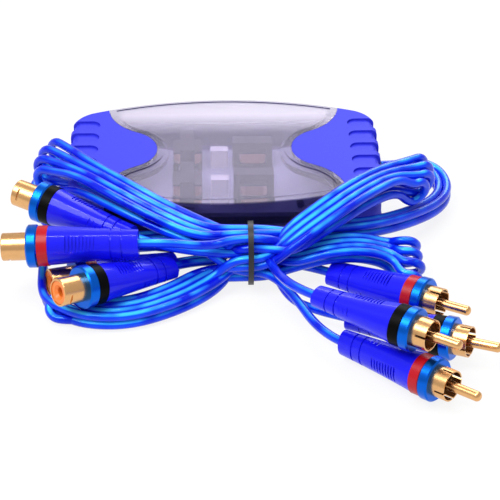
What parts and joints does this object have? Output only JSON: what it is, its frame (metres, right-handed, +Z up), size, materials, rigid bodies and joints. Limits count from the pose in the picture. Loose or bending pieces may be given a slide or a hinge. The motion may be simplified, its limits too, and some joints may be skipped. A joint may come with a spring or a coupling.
{
  "type": "ground loop isolator",
  "caption": "Car audio ground loop isolator: a clear transformer housing with grip end caps and tied leads that end in phono jacks and plugs.",
  "frame": {"origin": "on the surface under the middle of the housing", "axes": "+X along the housing to the plugs' end, +Y to the back, +Z up"},
  "size_m": [0.1576, 0.1657, 0.0278],
  "materials": {
    "clear_shell": "clear moulded, lavender tint",
    "dark_shell": "clear moulded, smoky",
    "cap": "matte moulded, violet blue",
    "grommet": "matte",
    "screw": "zinc plated",
    "board": "solder mask",
    "core": "varnished laminations",
    "bobbin": "moulded",
    "coil": "enamelled copper wire",
    "capacitor": "dipped film",
    "boot": "soft clear moulded, deep blue",
    "gold": "gold plated",
    "insert": "moulded, orange",
    "insulator": "moulded, black",
    "collar": "anodised, blue",
    "red_band": "glossy",
    "black_band": "glossy",
    "cord": "clear flexible jacket, blue",
    "tie": "coated wire"
  },
  "bodies": {
    "root": {"black_bands": "black_band", "bottom_shell": "dark_shell", "circuit_board": "board", "filter_capacitors": "capacitor", "hank_arm_back_left": "cord", "hank_arm_back_right": "cord", "hank_arm_front_left": "cord", "hank_arm_front_right": "cord", "hank_waist": "cord", "housing_screws": "screw", "jack_1_barrel": "gold", "jack_1_boot": "boot", "jack_1_insert": "insert", "jack_1_lead": "cord", "jack_2_barrel": "gold", "jack_2_boot": "boot", "jack_2_insert": "insert", "jack_2_lead": "cord", "jack_3_barrel": "gold", "jack_3_boot": "boot", "jack_3_insert": "insert", "jack_3_lead": "cord", "jack_4_barrel": "gold", "jack_4_boot": "boot", "jack_4_insert": "insert", "jack_4_lead": "cord", "jack_collars": "collar", "jack_contacts": "gold", "left_end_cap": "cap", "left_exit_leads": "cord", "left_grommet": "grommet", "plug_1_boot": "boot", "plug_1_lead": "cord", "plug_1_pin": "gold", "plug_1_shell": "gold", "plug_2_boot": "boot", "plug_2_lead": "cord", "plug_2_pin": "gold", "plug_2_shell": "gold", "plug_3_boot": "boot", "plug_3_lead": "cord", "plug_3_pin": "gold", "plug_3_shell": "gold", "plug_4_boot": "boot", "plug_4_lead": "cord", "plug_4_pin": "gold", "plug_4_shell": "gold", "plug_collars": "collar", "plug_insulators": "insulator", "red_bands": "red_band", "right_end_cap": "cap", "right_exit_leads": "cord", "right_grommet": "grommet", "top_shell": "clear_shell", "transformer_bobbins": "bobbin", "transformer_coils": "coil", "transformer_cores": "core", "twist_tie": "tie"}
  },
  "joints": []
}
